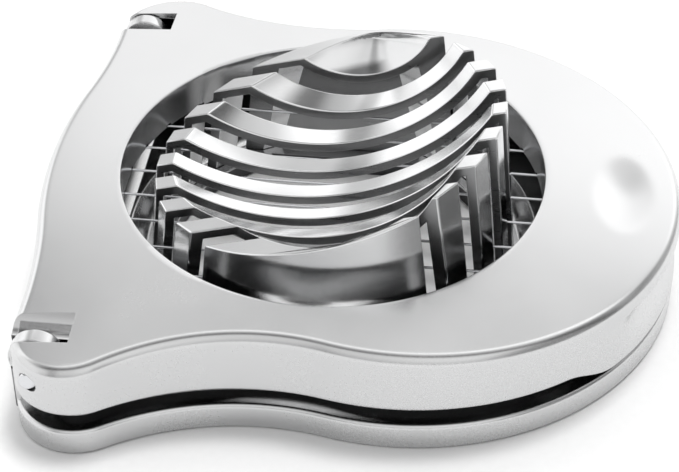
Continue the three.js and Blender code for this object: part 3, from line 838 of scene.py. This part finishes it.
def above_tilt():
    """Everything above the caps' sloping top."""
    space = block(-BEYOND, BEYOND, -BEYOND, BEYOND, -CAP_DROP, 30)
    turn = Matrix.Translation((WINDOW_X * MM, 0, TILT_HEIGHT * MM))
    turn @= Matrix.Rotation(-TILT, 4, "Y") @ Matrix.Translation((-WINDOW_X * MM, 0, 0))
    space.data.transform(turn)
    return space


def bowl_end(inner, side):
    """End of the egg bowl in a cap, raised well past the cap's top."""
    steps = 30
    raise_by = 14
    sections = []
    for s in range(steps + 1):
        share = math.sin(math.pi / 2 * s / steps)
        arc = bowl_arc(lerp(inner - 1, BOWL["half_width"] * 0.9995, share) * side)
        sections.append(arc + [(x, y, z + raise_by) for x, y, z in reversed(arc)])
    return outwards(loft_mesh("bowl", sections))


def cap_pocket(inner, side):
    """Shallow pocket with the ribs' arch, in the cap's inner face."""
    ends = (inner - 1, inner + CAP_POCKET)
    return outwards(loft_mesh("pocket", [arch_section(y * side, CRADLE_FOOT - 1) for y in ends]))


def build_cap(node, side):
    """Solid cap at the front (side -1) or the rear (side 1) of the cradle."""
    low, high = node_box(node)
    inner = low.y if side > 0 else -high.y
    cap = cap_blank(f"{node}_skin", inner, side)
    combine(cap, above_tilt())
    combine(cap, bowl_end(inner, side))
    combine(cap, cap_pocket(inner, side))
    soften(cap, CAP_SOFTENING, 30)
    mark_cast_skin_and_shade(cap, cradle_is_cast_skin_and_shade)
    return even_shading(cap)


# ------------------------------------------------------------------ materials


def start_material(name):
    """New node material, its tree's nodes and links, and its shader."""
    material = bpy.data.materials.new(name)
    material.use_nodes = True
    nodes, links = material.node_tree.nodes, material.node_tree.links
    shader = nodes["Principled BSDF"]
    return material, nodes, links, shader


def start_metal(name):
    """The same, for bare metal."""
    material, nodes, links, shader = start_material(name)
    shader.inputs["Metallic"].default_value = 1.0
    return material, nodes, links, shader


def noise(nodes, links, scale, detail, stretch=(1, 1, 1)):
    """Noise in object space, scale in features per metre, stretched by a factor along each axis."""
    place = nodes.new("ShaderNodeTexCoord")
    mapping = nodes.new("ShaderNodeMapping")
    mapping.inputs["Scale"].default_value = [1 / s for s in stretch]
    texture = nodes.new("ShaderNodeTexNoise")
    texture.inputs["Scale"].default_value = scale
    texture.inputs["Detail"].default_value = detail
    links.new(place.outputs["Object"], mapping.inputs["Vector"])
    links.new(mapping.outputs["Vector"], texture.inputs["Vector"])
    return texture.outputs["Fac"]


def spread(nodes, links, source, low, high, from_low=0.3, from_high=0.7):
    """Maps the middle of a noise's range to a range of values."""
    node = nodes.new("ShaderNodeMapRange")
    node.inputs["From Min"].default_value = from_low
    node.inputs["From Max"].default_value = from_high
    node.inputs["To Min"].default_value = low
    node.inputs["To Max"].default_value = high
    links.new(source, node.inputs["Value"])
    return node.outputs["Result"]


def math_node(nodes, links, operation, *sources):
    """Output of one operation on other nodes' outputs and plain numbers."""
    node = nodes.new("ShaderNodeMath")
    node.operation = operation
    for socket, source in zip(node.inputs, sources):
        if isinstance(source, float):
            socket.default_value = source
        else:
            links.new(source, socket)
    return node.outputs[0]


def tint(nodes, links, source, dark, light):
    """Colour that varies with a noise, between a dark and a light one."""
    ramp = nodes.new("ShaderNodeValToRGB")
    ramp.color_ramp.elements[0].color = (*dark, 1)
    ramp.color_ramp.elements[1].color = (*light, 1)
    ramp.color_ramp.elements[0].position = 0.3
    ramp.color_ramp.elements[1].position = 0.7
    links.new(source, ramp.inputs["Fac"])
    return ramp.outputs["Color"]


def bump(nodes, links, shader, height, strength, distance, edge_radius=0.0):
    """Fine relief as deep as distance, with edges that shade round within edge_radius (metres)."""
    node = nodes.new("ShaderNodeBump")
    node.inputs["Strength"].default_value = strength
    node.inputs["Distance"].default_value = distance
    links.new(height, node.inputs["Height"])
    if edge_radius:
        rounded = nodes.new("ShaderNodeBevel")
        rounded.samples = 4
        rounded.inputs["Radius"].default_value = edge_radius
        links.new(rounded.outputs["Normal"], node.inputs["Normal"])
    links.new(node.outputs["Normal"], shader.inputs["Normal"])


def polish_and_cast_with_shade(nodes, links, shader, polished_colour, shaded_cast_colour, rough, cast_rough):
    """Mixes the polished finish with the as-cast one, which is rougher and darker; its darker
    colour is painted shade.
    """
    mark = nodes.new("ShaderNodeAttribute")
    mark.attribute_name = "cast_skin_and_shade"
    colour = nodes.new("ShaderNodeMix")
    colour.data_type = "RGBA"
    links.new(mark.outputs["Fac"], colour.inputs[0])
    links.new(polished_colour, colour.inputs[6])
    # The cast colour gets painted shade in its recesses.
    links.new(paint_recess_shade(nodes, links, shaded_cast_colour), colour.inputs[7])
    links.new(colour.outputs[2], shader.inputs["Base Color"])
    extra = spread(nodes, links, mark.outputs["Fac"], 0.0, cast_rough, 0.0, 1.0)
    total = math_node(nodes, links, "ADD", rough, extra)
    links.new(total, shader.inputs["Roughness"])


def paint_recess_shade(nodes, links, colour):
    """Paints shade into a colour where the surface lies deep between its neighbours: darkening read
    from an ambient occlusion node.
    """
    shade = nodes.new("ShaderNodeAmbientOcclusion")
    shade.samples = 6
    shade.inputs["Distance"].default_value = 0.012
    dark = spread(nodes, links, shade.outputs["AO"], 0.04, 1.0, 0.35, 0.85)
    mix = nodes.new("ShaderNodeMix")
    mix.data_type = "RGBA"
    mix.blend_type = "MULTIPLY"
    mix.inputs[0].default_value = 1.0
    links.new(colour, mix.inputs[6])
    links.new(dark, mix.inputs[7])
    return mix.outputs[2]


def satin_casting():
    """Die-cast aluminium, polished to a soft satin, with faint handling marks."""
    material, nodes, links, shader = start_metal("satin_cast_aluminium")
    cloud = noise(nodes, links, 45, 3)
    grain = noise(nodes, links, 2600, 4)
    hairs = noise(nodes, links, 900, 3, (1, 14, 1))
    satin_colour = tint(nodes, links, cloud, (0.73, 0.732, 0.736), (0.77, 0.772, 0.775))
    # Near-black cast colour: painted shade for the undersides and inner faces.
    shaded_cast_colour = tint(nodes, links, grain, (0.18, 0.182, 0.185), (0.22, 0.222, 0.225))
    fine = spread(nodes, links, grain, -0.02, 0.03)
    wide = spread(nodes, links, cloud, 0.19, 0.25)
    rough = math_node(nodes, links, "ADD", fine, wide)
    polish_and_cast_with_shade(nodes, links, shader, satin_colour, shaded_cast_colour, rough, 0.2)
    height = math_node(nodes, links, "ADD", grain, hairs)
    bump(nodes, links, shader, height, 0.12, 0.000004, 0.00025)
    return material


def polished_casting():
    """The cradle: bright polished tops, with the flanks and undersides left rougher, as cast, and
    painted darker as shade.
    """
    material, nodes, links, shader = start_metal("polished_aluminium")
    cloud = noise(nodes, links, 90, 3)
    grain = noise(nodes, links, 2400, 4, (10, 1, 1))
    bright = tint(nodes, links, cloud, (0.84, 0.845, 0.85), (0.9, 0.902, 0.905))
    # Darker cast colour: painted shade for the flanks, undersides and inner faces of the legs.
    dull = tint(nodes, links, cloud, (0.4, 0.402, 0.407), (0.48, 0.482, 0.487))
    fine = spread(nodes, links, grain, -0.02, 0.03)
    wide = spread(nodes, links, cloud, 0.11, 0.16)
    rough = math_node(nodes, links, "ADD", fine, wide)
    polish_and_cast_with_shade(nodes, links, shader, bright, dull, rough, 0.16)
    bump(nodes, links, shader, grain, 0.12, 0.000004, 0.00015)
    return material


def drawn_wire():
    """Stainless wire with drawing lines along it."""
    material, nodes, links, shader = start_metal("drawn_stainless_wire")
    lines = noise(nodes, links, 9000, 2, (60, 1, 1))
    colour = tint(nodes, links, lines, (0.62, 0.63, 0.65), (0.76, 0.765, 0.78))
    links.new(colour, shader.inputs["Base Color"])
    links.new(spread(nodes, links, lines, 0.16, 0.28), shader.inputs["Roughness"])
    bump(nodes, links, shader, lines, 0.2, 0.000004)
    return material


def turned_steel():
    """Pins: turned steel with faint rings on the ends."""
    material, nodes, links, shader = start_metal("turned_steel")
    place = nodes.new("ShaderNodeTexCoord")
    mapping = nodes.new("ShaderNodeMapping")
    mapping.inputs["Location"].default_value = (-(HINGE_X + WINDOW_X) * MM, 0, -HINGE_Z * MM)
    rings = nodes.new("ShaderNodeTexWave")
    rings.wave_type = "RINGS"
    rings.rings_direction = "Y"
    rings.inputs["Scale"].default_value = 1400
    rings.inputs["Distortion"].default_value = 0.6
    links.new(place.outputs["Object"], mapping.inputs["Vector"])
    links.new(mapping.outputs["Vector"], rings.inputs["Vector"])
    colour = tint(nodes, links, rings.outputs["Fac"], (0.66, 0.67, 0.69), (0.78, 0.785, 0.80))
    links.new(colour, shader.inputs["Base Color"])
    links.new(spread(nodes, links, rings.outputs["Fac"], 0.2, 0.3), shader.inputs["Roughness"])
    bump(nodes, links, shader, rings.outputs["Fac"], 0.15, 0.000004, 0.0002)
    return material


def zinc_plate():
    """Rails, ferrules and screws: dull zinc with a cloudy, slightly warm bloom."""
    material, nodes, links, shader = start_metal("zinc_plate")
    cloud = noise(nodes, links, 500, 5)
    grain = noise(nodes, links, 5000, 3)
    colour = tint(nodes, links, cloud, (0.47, 0.48, 0.50), (0.62, 0.62, 0.62))
    links.new(colour, shader.inputs["Base Color"])
    links.new(spread(nodes, links, grain, 0.32, 0.48), shader.inputs["Roughness"])
    bump(nodes, links, shader, grain, 0.2, 0.000006, 0.00012)
    return material


def pale_floor():
    """The surface that the object stands on: plain white with a faint tooth."""
    material, nodes, links, shader = start_material("pale_floor")
    tooth = noise(nodes, links, 700, 3)
    colour = tint(nodes, links, tooth, (0.93, 0.93, 0.93), (0.95, 0.95, 0.95))
    links.new(colour, shader.inputs["Base Color"])
    shader.inputs["Roughness"].default_value = 0.65
    bump(nodes, links, shader, tooth, 0.05, 0.00001)
    return material


def coat(obj, material):
    """Gives a rebuilt piece its one material."""
    obj.data.materials.clear()
    obj.data.materials.append(material)


def finish_node(node, material):
    """Gives a CAD node its material."""
    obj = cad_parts[node]
    if obj.material_slots:
        for material_slot in obj.material_slots:
            material_slot.material = material
    else:
        obj.data.materials.append(material)


# ------------------------------------------------------------------ the object

satin = satin_casting()
polished = polished_casting()
wire_steel = drawn_wire()
pin_steel = turned_steel()
zinc = zinc_plate()

top_frame = build_top_frame()
coat(top_frame, satin)
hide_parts("top_frame")
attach(top_frame, "frame")

base = build_base()
coat(base, satin)
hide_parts("base_casting")
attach(base, "base")

cradle = {node: build_rib(node) for node in RIBS}
cradle["cradle_cap_front"] = build_cap("cradle_cap_front", -1)
cradle["cradle_cap_rear"] = build_cap("cradle_cap_rear", 1)
for node, piece in cradle.items():
    coat(piece, polished)
    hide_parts(node)
    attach(piece, "base")

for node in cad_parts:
    if node.startswith("cutting_wire"):
        finish_node(node, wire_steel)
    elif node.startswith("hinge_pin"):
        finish_node(node, pin_steel)
    elif node.startswith(("wire_rail", "wire_ferrule", "rail_screw")):
        finish_node(node, zinc)


# ------------------------------------------------------------------ stage, light and camera


def build_floor():
    """Square floor, three metres each way from the middle."""
    reach = 3.0
    points = [(-reach, -reach, 0), (reach, -reach, 0), (reach, reach, 0), (-reach, reach, 0)]
    mesh = bpy.data.meshes.new("floor")
    mesh.from_pydata(points, [], [(0, 1, 2, 3)])
    floor = bpy.data.objects.new("floor", mesh)
    bpy.context.scene.collection.objects.link(floor)
    coat(floor, pale_floor())


def area_light(name, place, target, size, power):
    """Soft light, its sizes in metres and its power in watts, that shows in no reflection."""
    light = bpy.data.lights.new(name, "AREA")
    light.shape = "RECTANGLE"
    light.size, light.size_y = size
    light.energy = power
    obj = bpy.data.objects.new(name, light)
    obj.location = place
    obj.rotation_euler = (Vector(target) - Vector(place)).to_track_quat("-Z", "Y").to_euler()
    obj.visible_glossy = False
    bpy.context.scene.collection.objects.link(obj)


# Brightness of the studio along an arch over the object, from the sweep behind it (0), through
# overhead (0.5), to the room in front of it (1).
STUDIO_ARCH = (
    (0.0, 1.0),
    (0.08, 1.3),
    (0.21, 1.35),
    (0.26, 0.74),
    (0.32, 0.74),
    (0.345, 1.4),
    (0.4, 1.4),
    (0.44, 0.75),
    (0.5, 0.6),
    (0.54, 0.2),
    (0.59, 0.2),
    (0.65, 0.9),
    (0.85, 0.85),
    (1.0, 0.6),
)
# The same from its left side (0) to its right side (1), as a share.
STUDIO_WIDTH = (
    (0.0, 0.9),
    (0.2, 1.0),
    (0.25, 0.5),
    (0.3, 0.5),
    (0.34, 0.9),
    (0.45, 0.88),
    (0.55, 0.98),
    (0.65, 1.05),
    (0.76, 1.1),
    (0.85, 0.4),
    (1.0, 0.35),
)
# Soft box at the far left, whatever the arch gives there.
STUDIO_SIDES = (
    (0.0, 1.0),
    (0.12, 1.0),
    (0.25, 0.0),
    (1.0, 0.0),
)


def grey_ramp(nodes, stops):
    """Colour ramp of greys through the stops, each a position and a brightness."""
    ramp = nodes.new("ShaderNodeValToRGB")
    elements = ramp.color_ramp.elements
    while len(elements) < len(stops):
        elements.new(0.5)
    for element, (position, value) in zip(elements, stops):
        element.position = position
        element.color = (value, value, value, 1)
    return ramp


def build_world():
    """Soft studio all round: the arch times the width, or the side box where that is brighter."""
    world = bpy.data.worlds.new("studio")
    world.use_nodes = True
    nodes, links = world.node_tree.nodes, world.node_tree.links
    place = nodes.new("ShaderNodeTexCoord")
    parts = nodes.new("ShaderNodeSeparateXYZ")
    links.new(place.outputs["Generated"], parts.inputs[0])
    angle = math_node(nodes, links, "ARCTAN2", parts.outputs["Z"], parts.outputs["Y"])
    arch = grey_ramp(nodes, STUDIO_ARCH)
    links.new(math_node(nodes, links, "DIVIDE", angle, math.pi), arch.inputs["Fac"])
    width = grey_ramp(nodes, STUDIO_WIDTH)
    sideways = math_node(nodes, links, "MULTIPLY_ADD", parts.outputs["X"], 0.5, 0.5)
    links.new(sideways, width.inputs["Fac"])
    sides = grey_ramp(nodes, STUDIO_SIDES)
    links.new(sideways, sides.inputs["Fac"])
    middle = math_node(nodes, links, "MULTIPLY", arch.outputs["Color"], width.outputs["Color"])
    light = math_node(nodes, links, "MAXIMUM", middle, sides.outputs["Color"])
    background = nodes["Background"]
    links.new(light, background.inputs["Color"])
    background.inputs["Strength"].default_value = 1.0
    bpy.context.scene.world = world


# The view: image width and focal length in pixels, and the sensor's width in millimetres.
IMAGE_WIDTH = 679
FOCAL_LENGTH = 1966.76
SENSOR_WIDTH = 36


def build_camera():
    """Camera at the photograph's angle. Distances are in window radii from the crown's middle."""
    azimuth, elevation = math.radians(6.792), math.radians(39.476)
    unit = WINDOW_RADIUS * MM
    distance, right_shift, up_shift = 9.268 * unit, 0.031 * unit, -0.361 * unit
    back = Vector((
        math.sin(azimuth) * math.cos(elevation),
        -math.cos(azimuth) * math.cos(elevation),
        math.sin(elevation),
    ))
    right = Vector((math.cos(azimuth), math.sin(azimuth), 0))
    up = back.cross(right)
    camera = bpy.data.objects.new("camera", bpy.data.cameras.new("camera"))
    target = Vector((WINDOW_X * MM, 0, CROWN * MM))
    camera.location = target + back * distance + right * right_shift + up * up_shift
    turn = Matrix((right, up, back)).transposed()
    camera.rotation_euler = turn.to_euler()
    camera.data.sensor_width = SENSOR_WIDTH
    camera.data.lens = FOCAL_LENGTH / IMAGE_WIDTH * SENSOR_WIDTH
    camera.data.clip_start = 0.01
    bpy.context.scene.collection.objects.link(camera)
    bpy.context.scene.camera = camera


build_floor()
area_light("key", (0.15, 0.2, 1.5), (0, 0, 0.01), (0.35, 0.35), 12)
build_world()
build_camera()
bpy.context.scene.view_settings.view_transform = "Standard"
